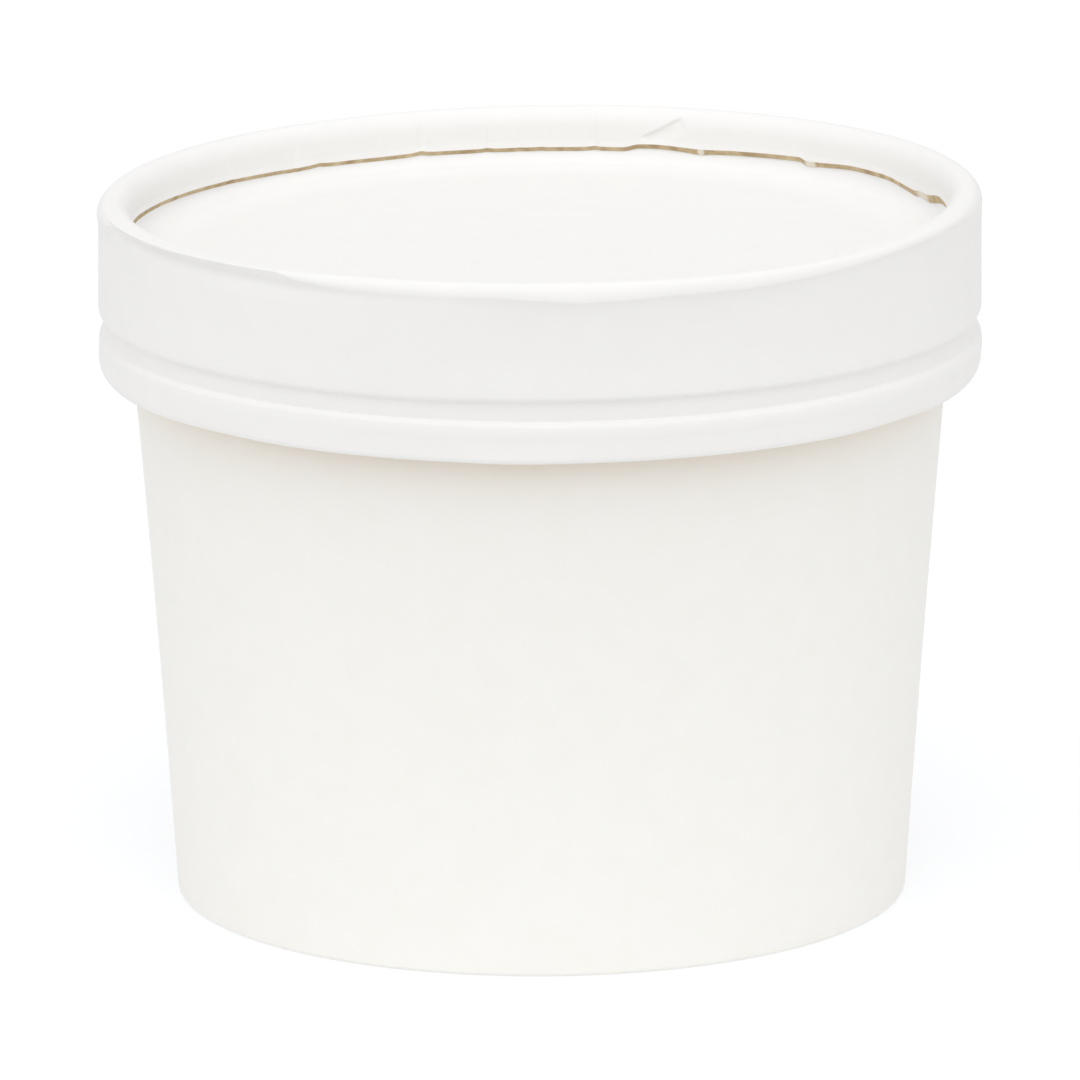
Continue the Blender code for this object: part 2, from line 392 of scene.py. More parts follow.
def line(start, end, count):
    """Straight run from start to end, with both ends."""
    share = np.linspace(0.0, 1.0, count)[:, None]
    return np.array(start) * (1.0 - share) + np.array(end) * share


def join(*runs):
    """One outline out of several runs, without the points that repeat."""
    points = np.vstack(runs)
    step = np.linalg.norm(np.diff(points, axis=0), axis=1)
    keep = np.concatenate([[True], step > SAME_POINT])
    return points[keep]


def ring_normals(points):
    """Outward unit normals of a closed outline that runs down its outer side: the tangent,
    taken between each point's two neighbours, turned a quarter turn."""
    tangent = np.roll(points, -1, axis=0) - np.roll(points, 1, axis=0)
    tangent /= np.maximum(np.linalg.norm(tangent, axis=1, keepdims=True), 1e-9)
    return np.column_stack([-tangent[:, 1], tangent[:, 0]])


def wall_radius(z):
    """Outside of the cup wall: a straight taper less a parabola-shaped bow."""
    share = z / WALL_REF_Z
    taper = FOOT_RADIUS + (WALL_REF_RADIUS - FOOT_RADIUS) * share
    return taper - WALL_BOW * 4.0 * share * np.maximum(0.0, 1.0 - share)


def lean(x, z, phi):
    """Rise of the upper lid: the lean times x over the lid's radius, less the pressed-down
    stretch, both eased in up the skirt."""
    upper = smooth(z, LEAN_START_Z, LEAN_FULL_Z)
    dip = RIM_DIP * bell_at(phi, RIM_DIP_DIRECTION, RIM_DIP_WIDTH)
    dip = dip * smooth(z, RIM_DIP_START_Z, RIM_DIP_FULL_Z)
    return upper * (RIM_LEAN * x / LID_RADIUS - dip)


def columns_with_edge(count, edge, crowding=None):
    """Angles once round from the edge, with a pair a hair apart there so that a step is sharp.
    Crowding is a function of direction in degrees that says how close together they stand:
    the angles are equal shares of its running total."""
    fine = edge + np.linspace(0.0, math.tau, FINE_SAMPLES)
    density = np.ones_like(fine) if crowding is None else crowding(np.degrees(turn(fine)))
    total = np.concatenate([[0.0], np.cumsum(0.5 * (density[1:] + density[:-1]))])
    phi = np.interp(np.linspace(0.0, total[-1], count + 1), total, fine)
    phi[0] += HAIR
    phi[-1] -= HAIR
    return phi


# ---------------------------------------------------------------- meshes
def turned_piece(name, radius, height, phi, ring, materials, finish=None, seam_rows=None):
    """Mesh of x = r cos(phi), y = r sin(phi), z over a grid of outline rows and columns round
    the axis.  A ring's outline closes on itself; otherwise its ends lie on the axis and
    become poles.  Finish gives each row's material, and the second one also goes on the rows
    of a seam, between the last and the first column.  The UV map holds millimetres: round
    the piece, and along the outline."""
    rows, columns = radius.shape
    x = radius * np.cos(phi)[None, :]
    y = radius * np.sin(phi)[None, :]
    z = height + lean(x, height, phi[None, :])
    points = np.stack([x, y, z], axis=-1) * MM

    above = np.arange(rows * columns).reshape(rows, columns)
    below = np.roll(above, -1, axis=0)
    if not ring:
        above = above[:-1]
        below = below[:-1]
    beside = np.roll(above, -1, axis=1)
    beside_below = np.roll(below, -1, axis=1)
    faces = np.stack([above, below, beside_below, beside], axis=-1)
    face_rows, face_columns = above.shape
    slots = np.zeros((face_rows, face_columns), dtype=np.int32)
    if finish is not None:
        slots += finish[:face_rows, None]
    if seam_rows is not None:
        slots[seam_rows[:face_rows], -1] = 1

    mesh = bpy.data.meshes.new(name)
    mesh.from_pydata(points.reshape(-1, 3).tolist(), [], faces.reshape(-1, 4).tolist())
    for material in materials:
        mesh.materials.append(material)
    mesh.polygons.foreach_set("material_index", slots.reshape(-1))

    step = np.linalg.norm(np.diff(points.mean(axis=1), axis=0), axis=1) / MM
    along = np.concatenate([[0.0], np.cumsum(step), [step.sum() + step.mean()]])
    round_piece = np.unwrap(np.concatenate([phi, [phi[0] + math.tau]])) * radius.max()
    row, column = np.indices((face_rows, face_columns))
    corner_row = np.stack([row, row + 1, row + 1, row], axis=-1)
    corner_column = np.stack([column, column, column + 1, column + 1], axis=-1)
    uv = np.stack([round_piece[corner_column], along[corner_row]], axis=-1)
    layer = mesh.uv_layers.new(name="board_mm")
    layer.data.foreach_set("uv", uv.reshape(-1).astype(np.float32))
    return mesh


def finish_piece(name, mesh, replaced):
    """Object at the origin for a finished mesh, welded, smooth and riding on the cup."""
    work = bmesh.new()
    work.from_mesh(mesh)
    bmesh.ops.remove_doubles(work, verts=work.verts, dist=WELD)
    bmesh.ops.recalc_face_normals(work, faces=work.faces)
    work.to_mesh(mesh)
    work.free()
    mesh.shade_smooth()
    mesh.set_sharp_from_angle(angle=math.radians(SHARP_ANGLE))
    piece = bpy.data.objects.new(name, mesh)
    bpy.context.scene.collection.objects.link(piece)
    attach(piece, "root")
    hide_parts(replaced)
    return piece


# ---------------------------------------------------------------- material helpers
def colour(code):
    """sRGB hex code to a linear RGBA value."""
    channels = [int(code[start : start + 2], 16) / 255.0 for start in (1, 3, 5)]
    linear = [c / 12.92 if c <= 0.04045 else ((c + 0.055) / 1.055) ** 2.4 for c in channels]
    return (*linear, 1.0)


def add(tree, kind, settings=None, links=None):
    """Adds a node, sets its properties or input values, and links its inputs."""
    node = tree.nodes.new(kind)
    for key, value in (settings or {}).items():
        if isinstance(key, str) and hasattr(node, key):
            setattr(node, key, value)
        else:
            node.inputs[key].default_value = value
    for key, output in (links or {}).items():
        tree.links.new(output, node.inputs[key])
    return node


def empty_material(name):
    """A new material and its node tree, with nothing in it."""
    material = bpy.data.materials.new(name)
    material.use_nodes = True
    material.node_tree.nodes.clear()
    return material, material.node_tree


def paint_fillet_light(tree, place, tint, inner, outer, pale):
    """Painted light: takes a tint over to a paler one between two radii round the axis."""
    flat = add(
        tree,
        "ShaderNodeVectorMath",
        {"operation": "MULTIPLY", 1: (1.0, 1.0, 0.0)},
        {0: place},
    )
    reach = add(
        tree,
        "ShaderNodeVectorMath",
        {"operation": "LENGTH"},
        {0: flat.outputs["Vector"]},
    )
    ring = add(
        tree,
        "ShaderNodeMapRange",
        {"interpolation_type": "SMOOTHSTEP", "From Min": inner * MM, "From Max": outer * MM},
        {"Value": reach.outputs["Value"]},
    )
    return add(
        tree,
        "ShaderNodeMix",
        {"data_type": "RGBA", 7: colour(pale)},
        {0: ring.outputs["Result"], 6: tint.outputs[2]},
    )


def paperboard(name, light, shade, roughness, fibre_depth, painted_light_ring=None):
    """Bleached board.  Two near-whites drift into each other in clouds a few millimetres
    across, and fine fibres lie under the coating as a bump some micrometres deep.  A pale
    ring, given by two radii and a colour, is painted light: it lightens the board towards a
    fillet, to stand for the light that gathers there."""
    material, tree = empty_material(name)
    place = add(tree, "ShaderNodeTexCoord").outputs["Object"]
    cloud = add(
        tree,
        "ShaderNodeTexNoise",
        {"Scale": 1.0 / (PULP_CLOUD * MM), "Detail": 3.0},
        {"Vector": place},
    )
    fibre = add(
        tree,
        "ShaderNodeTexNoise",
        {"Scale": 1.0 / (BOARD_FIBRE * MM), "Detail": 4.0, "Roughness": 0.65, "Distortion": 1.2},
        {"Vector": place},
    )
    mottle = add(
        tree,
        "ShaderNodeMapRange",
        {"From Min": 0.35, "From Max": 0.65},
        {"Value": cloud.outputs["Fac"]},
    )
    tint = add(
        tree,
        "ShaderNodeMix",
        {"data_type": "RGBA", 6: colour(light), 7: colour(shade)},
        {0: mottle.outputs["Result"]},
    )
    # painted light: the board is painted paler towards the fillet, for light gathering there
    if painted_light_ring:
        tint = paint_fillet_light(tree, place, tint, *painted_light_ring)
    gloss = add(
        tree,
        "ShaderNodeMapRange",
        {"To Min": roughness - 0.05, "To Max": roughness + 0.07},
        {"Value": fibre.outputs["Fac"]},
    )
    bump = add(
        tree,
        "ShaderNodeBump",
        {"Strength": 1.0, "Distance": fibre_depth * MM},
        {"Height": fibre.outputs["Fac"]},
    )
    shader = add(
        tree,
        "ShaderNodeBsdfPrincipled",
        {"IOR": 1.47, "Specular IOR Level": 0.3},
        {
            "Base Color": tint.outputs[2],
            "Roughness": gloss.outputs["Result"],
            "Normal": bump.outputs["Normal"],
        },
    )
    add(tree, "ShaderNodeOutputMaterial", {}, {"Surface": shader.outputs["BSDF"]})
    return material


def kraft(name, dark, light):
    """Unbleached kraft: brown fibres in clouds, rough and dry.  It is pale at the few places
    along the raw edge where a fibre of the bleached face is dragged over it."""
    material, tree = empty_material(name)
    place = add(tree, "ShaderNodeTexCoord").outputs["Object"]
    spots = add(
        tree,
        "ShaderNodeTexNoise",
        {"Scale": 1.0 / (KRAFT_CLOUD * MM), "Detail": 4.0},
        {"Vector": place},
    )
    shade = add(tree, "ShaderNodeValToRGB", {}, {"Fac": spots.outputs["Fac"]})
    ramp = shade.color_ramp
    ramp.elements[0].position = 0.30
    ramp.elements[0].color = colour(dark)
    ramp.elements[1].position = 0.72
    ramp.elements[1].color = colour(light)
    core = shade.outputs["Color"]
    for degrees, height, reach in DRAGGED_FIBRES:
        angle = math.radians(degrees)
        spot = (BORE_RADIUS * math.cos(angle), BORE_RADIUS * math.sin(angle), height)
        away = add(
            tree,
            "ShaderNodeVectorMath",
            {"operation": "DISTANCE", 1: Vector(spot) * MM},
            {0: place},
        )
        cover = add(
            tree,
            "ShaderNodeMapRange",
            {
                "From Min": 0.5 * reach * MM,
                "From Max": reach * MM,
                "To Min": DRAGGED_COVER,
                "To Max": 0.0,
            },
            {"Value": away.outputs["Value"]},
        )
        paler = add(
            tree,
            "ShaderNodeMix",
            {"data_type": "RGBA", 7: colour("#e6e0d2")},
            {0: cover.outputs["Result"], 6: core},
        )
        core = paler.outputs[2]
    grain = add(
        tree,
        "ShaderNodeTexNoise",
        {"Scale": 1.0 / (KRAFT_GRAIN * MM), "Detail": 2.0},
        {"Vector": place},
    )
    bump = add(
        tree,
        "ShaderNodeBump",
        {"Distance": KRAFT_GRAIN_DEPTH * MM},
        {"Height": grain.outputs["Fac"]},
    )
    shader = add(
        tree,
        "ShaderNodeBsdfPrincipled",
        {"Roughness": 0.85, "IOR": 1.45, "Specular IOR Level": 0.25},
        {"Base Color": core, "Normal": bump.outputs["Normal"]},
    )
    add(tree, "ShaderNodeOutputMaterial", {}, {"Surface": shader.outputs["BSDF"]})
    return material


# ---------------------------------------------------------------- materials
def coated_cupstock():
    """The cup's wall: bleached board with a matt coating, which the eye takes for a soft,
    faintly warm white without a sharp highlight."""
    return paperboard("coated_cupstock", "#f0eee9", "#efede7", 0.55, 0.004)


def uncoated_base_board():
    """The base disc: bleached board left bare, a little darker, warmer and rougher."""
    return paperboard("uncoated_base_board", "#edebe4", "#e8e5dd", 0.7, 0.010)


def coated_lid_board():
    """The lid's band: coated and folded, a more neutral white than the cup's."""
    return paperboard("coated_lid_board", "#eeece9", "#edebe8", 0.55, 0.004)


def panel_board_and_painted_light():
    """The lid's panel: the same board, pressed flat, with a painted glow in front of its fillet."""
    # painted light: paler board from 37.5 to 44 mm out stands for light gathering at the fillet
    painted_light_ring = (37.5, 44.0, "#f1f0ee")
    return paperboard("panel_board_and_painted_light", "#eeece8", "#eeebe8", 0.55, 0.004, painted_light_ring)


def raw_kraft_edge():
    """The cut edge of the board: its brown core, which draws a fine dark line."""
    return kraft("raw_kraft_edge", "#a58e6a", "#cfbb98")


def kraft_reverse_face():
    """The board's unbleached back, seen under the hem: light and yellowish, so that it
    throws a warm shade on the wall below."""
    return kraft("kraft_reverse_face", "#ecc68c", "#f2d5a3")


# ---------------------------------------------------------------- the lid's band
def band_outline():
    """Section of the folded band: down its outside, round the hem, up behind it to the slot
    for the panel's flange, round the raw edge of the turned-in layer and up the bore.
    Returns the points, the finish of each row, how much each point moves with the raw edge,
    and how far it moves where the shoulder is a tight roll and where the hem is full."""
    skirt_top = CROWN_Z - CROWN_DROP
    tight_top = CROWN_Z - TIGHT_DROP
    bore_top = CROWN_Z - CROWN_FALL_IN
    crown = arc(SKIRT_RADIUS - CROWN_SHOULDER, skirt_top, CROWN_SHOULDER, CROWN_DROP, 90, 0, 18)
    tight_crown = arc(SKIRT_RADIUS - TIGHT_SHOULDER, tight_top, TIGHT_SHOULDER, TIGHT_DROP, 90, 0, 18)
    # rows of the skirt stand closer together towards the crown
    fall = np.linspace(0.0, 1.0, SKIRT_ROWS)[:, None] ** SKIRT_CROWDING
    skirt_end = np.array((SKIRT_RADIUS, SKIRT_END_Z))
    skirt = np.array((SKIRT_RADIUS, skirt_top)) * (1.0 - fall) + skirt_end * fall
    tight_skirt = np.array((SKIRT_RADIUS, tight_top)) * (1.0 - fall) + skirt_end * fall
    lip = arc(SKIRT_RADIUS - LIP_ROUND, SKIRT_END_Z, LIP_ROUND, LIP_ROUND, 0, -60, 7)
    groove_floor = (LID_RADIUS - GROOVE_DEPTH, 0.0)
    groove = np.array(GROOVE) + groove_floor
    bead_edge = np.array(BEAD_EDGE) + groove_floor
    crisp_edge = np.array(CRISP_EDGE) + groove_floor
    bead = np.array(BEAD) + (SKIRT_RADIUS, 0.0)
    foot = arc(SKIRT_RADIUS - FOOT_IN, SKIRT_FOOT_Z + FOOT_UP, FOOT_IN, FOOT_UP, 0, -90, 16)
    full_foot = arc(SKIRT_RADIUS - FULL_IN, SKIRT_FOOT_Z + FULL_UP, FULL_IN, FULL_UP, 0, -90, 16)

    hem_inner = LID_RADIUS - HEM_THICKNESS
    round_z = SKIRT_FOOT_Z + HEM_RAKE + HEM_ROUND
    inner_foot = arc(hem_inner + HEM_ROUND, round_z, HEM_ROUND, HEM_ROUND, -90, -180, 6)
    under = line((SKIRT_RADIUS - FOOT_IN, SKIRT_FOOT_Z), inner_foot[0], 2)
    slot_wall = line((hem_inner, round_z), (hem_inner, SLOT_TOP_Z), 3)
    beside_wall = (wall_radius(SLOT_TOP_Z) + WALL_PLAY, SLOT_TOP_Z)
    slot_roof = line((hem_inner, SLOT_TOP_Z), beside_wall, 2)
    ledge_z = PANEL_Z - PANEL_BOARD
    pocket_r = FLANGE_RADIUS + PANEL_BOARD + FLANGE_PLAY
    grip = line(beside_wall, (pocket_r + 0.15, ledge_z), 4)
    layer_r = BORE_RADIUS + LAYER
    pocket_roof = (layer_r + 0.1, POCKET_TOP_Z + 0.1)
    pocket = np.array([(pocket_r, ledge_z + 1.0), (pocket_r, POCKET_TOP_Z), pocket_roof])

    cut_top = CUT_FOOT_Z + CUT_HEIGHT
    back = np.array([(layer_r, LAYER_TOP_Z), (layer_r + 0.02, CUT_FOOT_Z + 0.02)])
    cut = line((BORE_RADIUS + CUT_FOOT_BACK, CUT_FOOT_Z), (BORE_RADIUS - CUT_TOP_PROUD, cut_top), 4)
    flare = np.array([(BORE_RADIUS - 0.09, cut_top + 0.06), (BORE_RADIUS - 0.05, LAYER_TOP_Z)])
    bore = line((BORE_RADIUS, BORE_START_Z), (BORE_RADIUS, bore_top), 10)
    crown_in = arc(BORE_RADIUS + CROWN_ROUND_IN, bore_top, CROWN_ROUND_IN, CROWN_FALL_IN, 180, 90, 18)
    top = line(crown_in[-1], crown[0], 4)[:-1]

    to_bead = join(crown, skirt[1:], lip, groove)
    outside = join(to_bead, bead_edge, bead, foot)
    hem = join(outside, under, inner_foot, slot_wall)
    head = np.vstack([join(hem, slot_roof, grip), pocket])
    points = np.vstack([head, join(back, cut, flare, bore, crown_in, top)])

    follow = 1.0 - smooth(points[:, 1], FOLLOW_START_Z, FOLLOW_END_Z)
    follow[: len(head)] = 0.0
    tighten = np.zeros_like(points)
    tighten[: len(crown)] = tight_crown - crown
    tighten[len(crown) : len(crown) + SKIRT_ROWS - 1] = (tight_skirt - skirt)[1:]
    fill = np.zeros_like(points)
    fill[len(to_bead) : len(to_bead) + len(bead_edge)] = crisp_edge - bead_edge
    fill[len(outside) - len(foot) : len(outside)] = full_foot - foot
    finish = np.zeros(len(points), dtype=np.int32)
    first_cut = len(head) + len(back)
    finish[first_cut : first_cut + len(cut) - 1] = 1
    finish[len(outside) - 1 : len(hem)] = 2
    return points, finish, follow, tighten, fill


def raw_edge_rise(phi):
    """How far the foot of the turned-in layer stands above its drawing height: a climb by
    powers towards both sides and the steps on the way, then the humps, a tick at each pleat
    and a fray.  Past +X the climb is eased away; at -X it stops, which leaves one step."""
    degrees = np.degrees(turn(phi))
    height, start, span = LEFT_CLIMB
    rise = height * np.clip((degrees - start) / span, 0.0, CLIMB_OVERRUN) ** 1.2
    height, start, span = RIGHT_CLIMB
    rise += height * (1.0 - np.clip(1.0 - (start - degrees) / span, 0.0, 1.0) ** 2)
    rise += steps(degrees, EDGE_STEPS)
    rise *= 1.0 - falling(degrees, *EDGE_FADE)
    rise += bumps(phi, EDGE_HUMPS)
    rise += bumps(phi, [(lift, direction, width) for direction, lift, width, _depth in PLEATS])
    return rise + ripple(phi, *EDGE_FRAY)


def lap_step(phi, edge_degrees, width_degrees, ease_degrees):
    """Share of one board's thickness added by a lap joint: whole from the cut end on, and
    eased away past the hidden end of the layer below."""
    past = np.degrees((phi - math.radians(edge_degrees)) % math.tau)
    return 1.0 - smooth(past, width_degrees, width_degrees + ease_degrees)


def crease(phi, z):
    """Slanting crease on the inside of the rim, where the lapped layer's end was rolled over:
    the sheet drops back by the depth on one side of a straight line drawn on the unrolled
    wall and comes out again over a couple of millimetres below it."""
    start = np.array(CREASE_FROM)
    per_degree = math.radians(BORE_RADIUS)
    run = (np.array(CREASE_TO) - start) * (-per_degree, 1.0)
    length = np.linalg.norm(run)
    run /= length
    sideways = (start[0] - np.degrees(turn(phi)))[None, :] * per_degree
    upwards = z - start[1]
    along = (sideways * run[0] + upwards * run[1]) / length
    below = sideways * run[1] - upwards * run[0]
    drop = CREASE_DEPTH * plateau(below, *CREASE_DROP)
    ridge = CREASE_RIDGE * bell(below, *CREASE_RIDGE_PLACE)
    return (drop - ridge) * plateau(along, *CREASE_LENGTH)


def pleat_folds(phi):
    """Depth of the pleats round the rim: a narrow bell each, less a shallower one beside it
    that stands for the ridge."""
    folds = np.zeros_like(phi)
    for direction, _lift, width, depth in PLEATS:
        fold = bell_at(phi, direction, FOLD_SHARE * width)
        ridge = RIDGE_SHARE * bell_at(phi, direction - RIDGE_OFFSET, RIDGE_WIDTH)
        folds += depth * (fold - ridge)
    return folds


def set_back(z, degrees, roll_foot):
    """How far the skirt stands back under the roll.  Two depths follow the direction, each
    times 1 - exp(-fall / drop), where fall is the height below the roll's foot.  The close
    one fades by exp(-fall / fade), and the wide one loses a share of itself lower down."""
    fall = np.maximum(roll_foot[None, :] - z, 0.0)
    close = round_rim(degrees, OVERHANG, 1)[None, :] * (1.0 - np.exp(-fall / OVERHANG_CLOSE_DROP))
    wide = round_rim(degrees, OVERHANG, 2)[None, :] * (1.0 - np.exp(-fall / OVERHANG_WIDE_DROP))
    close *= np.exp(-fall / OVERHANG_CLOSE_FADE)
    wide *= 1.0 - OVERHANG_WIDE_LOSS * falling(z, *OVERHANG_EASE_Z)
    return close + wide


def pinch(z, degrees):
    """Depth of the crease where the roll is pinched against the skirt: a bell across its
    height, wider on its lower side."""
    above = z - round_rim(degrees, UNDER_CREASE, 1)[None, :]
    width = round_rim(degrees, UNDER_CREASE, 3)[None, :]
    width = width * np.where(above < 0.0, UNDER_CREASE_SPREAD, 1.0)
    depth = round_rim(degrees, UNDER_CREASE, 2)[None, :]
    return depth * bell(above, 0.0, width) * (z < UNDER_CREASE_TOP_Z)


def band_relief(r, z, phi, roll_foot):
    """How far each point of the band is pushed out along the section's normal: the lap joint
    and slow waves, the set-back and the pinch under the roll, the hem's dents and the waves
    of its foot, and the pleats and the crease inside the rim."""
    degrees = np.degrees(turn(phi))
    outside = smooth(r, *OUTSIDE_R)
    bore = falling(r, *BORE_R) * smooth(z, *BORE_FOOT_Z)
    lap = LAP_THICKNESS * lap_step(phi, BAND_LAP_EDGE, BAND_LAP_WIDTH, BAND_LAP_EASE)
    relief = lap[None, :] * outside * (1.0 - smooth(z, *SKIRT_TOP_Z))

    skirt_waves = ripple(phi, *SKIRT_WAVES) * (1.0 - bell_at(phi, *CALM_BACK))
    relief += skirt_waves[None, :] * outside
    relief += ripple(phi, *CROWN_WAVES)[None, :] * smooth(z, *CROWN_FOOT_Z)
    relief += ripple(phi, *BORE_WAVES)[None, :] * bore

    under_roll = smooth(r, *OVERHANG_R) * smooth(z, *OVERHANG_FOOT_Z)
    relief -= set_back(z, degrees, roll_foot) * under_roll
    relief -= pinch(z, degrees) * smooth(r, *UNDER_CREASE_R)
    for depth, direction, width, level, half_height in HEM_DENTS:
        dent = depth * bell_at(phi, direction, width)
        relief -= dent[None, :] * bell(z, level, half_height) * outside
    relief += bumps(phi, FOOT_WAVES)[None, :] * outside * falling(z, *FOOT_WAVES_Z)

    relief -= pleat_folds(phi)[None, :] * bore * falling(z, *PLEAT_TOP_Z)
    relief -= crease(phi, z) * falling(r, *CREASE_R) * smooth(z, *CREASE_FOOT_Z)
    return relief


def band_crowding(direction):
    """How close together the band's columns stand: 1, and more in each crowded stretch."""
    density = np.ones_like(direction)
    for centre, begins, whole, more in CROWDED:
        density += more * falling(np.abs(direction - centre), begins, whole)
    return density


def build_band(edge):
    """The band: folded section carried round the axis with its relief and its raw edge."""
    points, finish, follow, tighten, fill = band_outline()
    phi = columns_with_edge(BAND_COLUMNS, math.radians(BAND_LAP_EDGE), band_crowding)
    degrees = np.degrees(turn(phi))
    tight = round_rim(degrees, TIGHTNESS, 1)
    full = 1.0 - smooth(np.degrees(np.abs(turn(phi + 0.5 * math.pi))), *FULL_HEM)
    section = points[:, :, None] + tighten[:, :, None] * tight + fill[:, :, None] * full
    roll_foot = CROWN_Z - CROWN_DROP + (CROWN_DROP - TIGHT_DROP) * tight
    relief = band_relief(section[:, 0], section[:, 1], phi, roll_foot)
    section += ring_normals(points)[:, :, None] * relief[:, None, :]
    radius = section[:, 0]
    height = section[:, 1] + follow[:, None] * raw_edge_rise(phi)[None, :]

    # where the raw edge is tall, its foot hangs lower and its bleached face stays in place
    taller = steps(degrees, TALL_STEP) + bumps(phi, TALL_EDGE)
    up_cut = np.clip((points[:, 1] - CUT_FOOT_Z) / CUT_HEIGHT, 0.0, 1.0)
    hanging = 1.0 - up_cut * (points[:, 0] < BORE_RADIUS + CUT_FOOT_BACK + 0.1)
    height -= (hanging * (follow > WHOLLY_FOLLOWS))[:, None] * taller[None, :]

    seam = (points[:, 0] > OUTSIDE_R[0]) & (points[:, 1] < SKIRT_TOP_Z[0])
    materials = [coated_lid_board(), edge, kraft_reverse_face()]
    mesh = turned_piece("lid_band_sheet", radius, height, phi, True, materials, finish, seam)
    return finish_piece("lid_band_sheet", mesh, "lid_band")


# ---------------------------------------------------------------- the lid's panel
def build_panel():
    """The panel: a flat disc, a quarter-round fillet and a short flange, one board thick."""
    centre_r = FLANGE_RADIUS - PANEL_FILLET
    centre_z = PANEL_Z + PANEL_FILLET
    under_z = PANEL_Z - PANEL_BOARD
    outer = PANEL_FILLET + PANEL_BOARD
    top = line((0.0, PANEL_Z), (centre_r, PANEL_Z), 46)
    fillet = arc(centre_r, centre_z, PANEL_FILLET, PANEL_FILLET, -90, 0, 16)
    rim = line((FLANGE_RADIUS, FLANGE_TOP_Z), (FLANGE_RADIUS + PANEL_BOARD, FLANGE_TOP_Z), 2)
    back = arc(centre_r, centre_z, outer, outer, 0, -90, 8)
    under = line((centre_r, under_z), (0.0, under_z), 12)
    points = join(top, fillet, rim, back, under)
    phi = np.linspace(0.0, math.tau, PANEL_COLUMNS, endpoint=False)
    r = points[:, 0:1]
    waves = ripple(phi, *PANEL_WAVES)[None, :] * plateau(r, *PANEL_WAVES_R)
    sag = PANEL_SAG * (1.0 - smooth(r, 0.0, PANEL_SAG_RADIUS))
    radius = np.repeat(r, phi.size, axis=1)
    height = points[:, 1:2] + waves - sag
    mesh = turned_piece("lid_panel_board", radius, height, phi, False, [panel_board_and_painted_light()])
    return finish_piece("lid_panel_board", mesh, "lid_panel")


# ---------------------------------------------------------------- the cup
def build_wall(edge):
    """The cup wall down to its rolled foot, with the lap joint at the back."""
    ring_inner = FOOT_RADIUS - FOOT_RING
    ring_round = FOOT_RING_ROUND
    recess_r = wall_radius(FOOT_HEM_Z) - WALL_BEHIND_BASE
    recess_z = BASE_Z + BASE_BOARD + BASE_PLAY
    foot_r = wall_radius(FOOT_ROUND) - FOOT_ROUND
    wall_z = np.linspace(WALL_TOP_Z, FOOT_ROUND, 70)
    wall = np.column_stack([wall_radius(wall_z), wall_z])
    lid_line = line((0.0, WALL_TOP_Z), wall[0], 6)
    foot = arc(foot_r, FOOT_ROUND, FOOT_ROUND, FOOT_ROUND, 0, -90, 8)
    hem = arc(ring_inner + ring_round, ring_round, ring_round, ring_round, -90, -180, 6)
    inside = line((ring_inner, ring_round), (ring_inner, FOOT_HEM_Z), 14)
    recess = line((recess_r, FOOT_HEM_Z), (recess_r, recess_z), 2)
    ceiling = line((recess_r, recess_z), (0.0, recess_z), 5)
    points = join(lid_line, wall, foot, hem, inside, recess, ceiling)

    phi = columns_with_edge(WALL_COLUMNS, math.radians(WALL_LAP_EDGE))
    lap = LAP_THICKNESS * lap_step(phi, WALL_LAP_EDGE, WALL_LAP_WIDTH, WALL_LAP_EASE)
    relief = lap + ripple(phi, *WALL_WAVES)
    on_wall = smooth(points[:, 0:1], *WALL_R) * smooth(points[:, 1:2], *WALL_Z)
    radius = points[:, 0:1] + on_wall * relief[None, :]
    height = np.repeat(points[:, 1:2], phi.size, axis=1)
    seam = on_wall[:, 0] > 0.2
    materials = [coated_cupstock(), edge]
    mesh = turned_piece("cup_wall", radius, height, phi, False, materials, None, seam)
    return finish_piece("cup_wall", mesh, "cup_body")


def build_base():
    """The base disc, with a flange turned down behind the foot's hem."""
    flange_outer = wall_radius(FOOT_HEM_Z) - WALL_BEHIND_BASE - BASE_PLAY
    flange_inner = flange_outer - BASE_BOARD
    fillet_r = flange_inner - BASE_FILLET
    outer = BASE_FILLET + BASE_BOARD
    top_z = BASE_Z + BASE_BOARD
    top = line((0.0, top_z), (flange_outer - outer, top_z), 8)
    shoulder = arc(flange_outer - outer, top_z - outer, outer, outer, 90, 0, 8)
    flange = line((flange_outer, BASE_FLANGE_FOOT_Z), (flange_inner, BASE_FLANGE_FOOT_Z), 2)
    fillet = arc(fillet_r, BASE_Z - BASE_FILLET, BASE_FILLET, BASE_FILLET, 0, 90, 10)
    under = line((fillet_r, BASE_Z), (0.0, BASE_Z), 40)
    points = join(top, shoulder, flange, fillet, under)
    phi = np.linspace(0.0, math.tau, PANEL_COLUMNS, endpoint=False)
    radius = np.repeat(points[:, 0:1], phi.size, axis=1)
    height = np.repeat(points[:, 1:2], phi.size, axis=1)
    mesh = turned_piece("cup_base_disc", radius, height, phi, False, [uncoated_base_board()])
    return finish_piece("cup_base_disc", mesh, "cup_base")


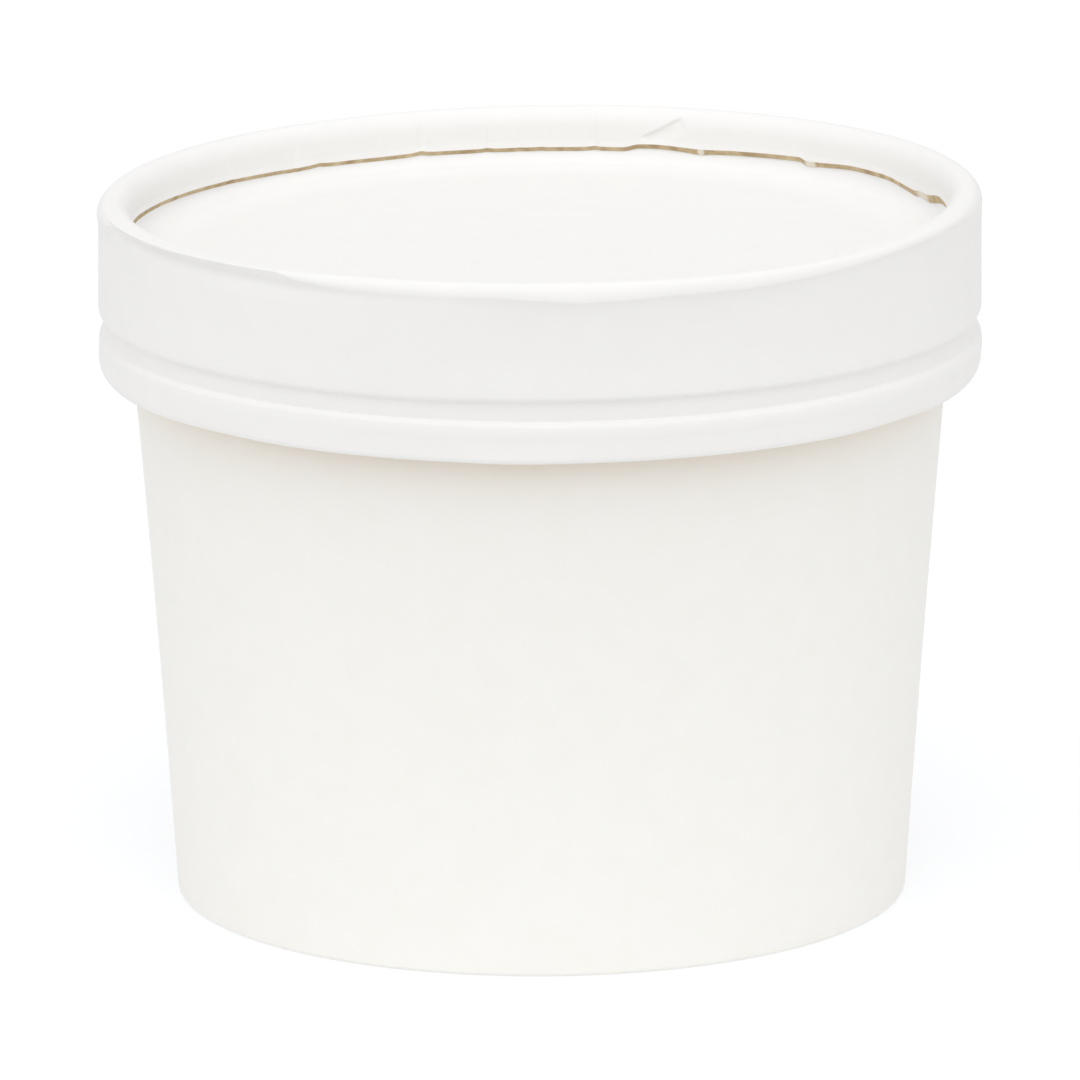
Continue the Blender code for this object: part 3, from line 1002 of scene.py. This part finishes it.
# ---------------------------------------------------------------- stage, light and camera
def matt_white_sweep():
    """The floor's paper: matt, with a glow that rises from front to back, so that it comes
    out white when seen from the front."""
    material, tree = empty_material("matt_white_sweep")
    place = add(tree, "ShaderNodeTexCoord").outputs["Object"]
    split = add(tree, "ShaderNodeSeparateXYZ", {}, {0: place})
    nearer, farther = FLOOR_CHANGE
    amount = add(
        tree,
        "ShaderNodeMapRange",
        {
            "interpolation_type": "SMOOTHSTEP",
            "From Min": nearer * MM,
            "From Max": farther * MM,
            "To Min": FLOOR_FRONT,
            "To Max": FLOOR_BEHIND,
        },
        {"Value": split.outputs["Y"]},
    )
    diffuse = add(tree, "ShaderNodeBsdfDiffuse", {"Color": FLOOR_GREY})
    glow = add(tree, "ShaderNodeEmission", {"Color": DAYLIGHT}, {"Strength": amount.outputs["Result"]})
    both = add(tree, "ShaderNodeAddShader", {}, {0: diffuse.outputs[0], 1: glow.outputs[0]})
    add(tree, "ShaderNodeOutputMaterial", {}, {"Surface": both.outputs[0]})
    return material


def build_floor():
    """Pale matt sweep that the cup stands on."""
    half = FLOOR_HALF * MM
    level = -FLOOR_DROP * MM
    corners = [(-half, -half, level), (half, -half, level), (half, half, level), (-half, half, level)]
    mesh = bpy.data.meshes.new("floor")
    mesh.from_pydata(corners, [], [(0, 1, 2, 3)])
    mesh.materials.append(matt_white_sweep())
    floor = bpy.data.objects.new("floor", mesh)
    bpy.context.scene.collection.objects.link(floor)


def build_light():
    """White room lit by softboxes.  Each box is a lobe of light about its direction: its
    level times the cosine of the angle from that direction, to a power that narrows it."""
    world = bpy.data.worlds.new("white_room")
    bpy.context.scene.world = world
    world.use_nodes = True
    tree = world.node_tree
    tree.nodes.clear()
    way = add(tree, "ShaderNodeTexCoord").outputs["Generated"]
    total = None
    for direction, power, level in SOFTBOXES:
        aim = Vector(direction).normalized()
        along = add(tree, "ShaderNodeVectorMath", {"operation": "DOT_PRODUCT", 1: aim}, {0: way})
        facing = add(
            tree,
            "ShaderNodeMath",
            {"operation": "MAXIMUM", 1: 0.0},
            {0: along.outputs["Value"]},
        )
        lobe = add(tree, "ShaderNodeMath", {"operation": "POWER", 1: power}, {0: facing.outputs[0]})
        box = add(tree, "ShaderNodeMath", {"operation": "MULTIPLY", 1: level}, {0: lobe.outputs[0]})
        if total:
            box = add(
                tree,
                "ShaderNodeMath",
                {"operation": "ADD"},
                {0: box.outputs[0], 1: total.outputs[0]},
            )
        total = box
    sky = add(tree, "ShaderNodeBackground", {"Color": DAYLIGHT}, {"Strength": total.outputs[0]})
    add(tree, "ShaderNodeOutputWorld", {}, {"Surface": sky.outputs[0]})


def build_camera():
    """Long lens, looking a little down; the frame is turned a hair to the left."""
    distance = 1364.7
    pitch = math.radians(13.469)
    roll = math.radians(-0.195)
    aim_height = 39.885
    side = -0.067
    focal_pixels = 12378.8
    image_pixels = 1080.0

    forward = Vector((0.0, math.cos(pitch), -math.sin(pitch)))
    right = Vector((1.0, 0.0, 0.0))
    up = right.cross(forward)
    view_right = right * math.cos(roll) + up * math.sin(roll)
    view_up = up * math.cos(roll) - right * math.sin(roll)
    camera = bpy.data.objects.new("camera", bpy.data.cameras.new("camera"))
    matrix = Matrix((view_right, view_up, -forward)).transposed().to_4x4()
    matrix.translation = Vector((side, -distance, aim_height + distance * math.tan(pitch))) * MM
    camera.matrix_world = matrix
    camera.data.sensor_width = 36.0
    camera.data.lens = camera.data.sensor_width * focal_pixels / image_pixels
    camera.data.clip_end = 50.0
    bpy.context.scene.collection.objects.link(camera)
    bpy.context.scene.camera = camera


def main():
    """Builds the four pieces, which share one cut edge, and then the stage."""
    edge = raw_kraft_edge()
    build_wall(edge)
    build_base()
    build_panel()
    build_band(edge)
    build_floor()
    build_light()
    build_camera()
    bpy.context.scene.view_settings.view_transform = "Standard"


main()
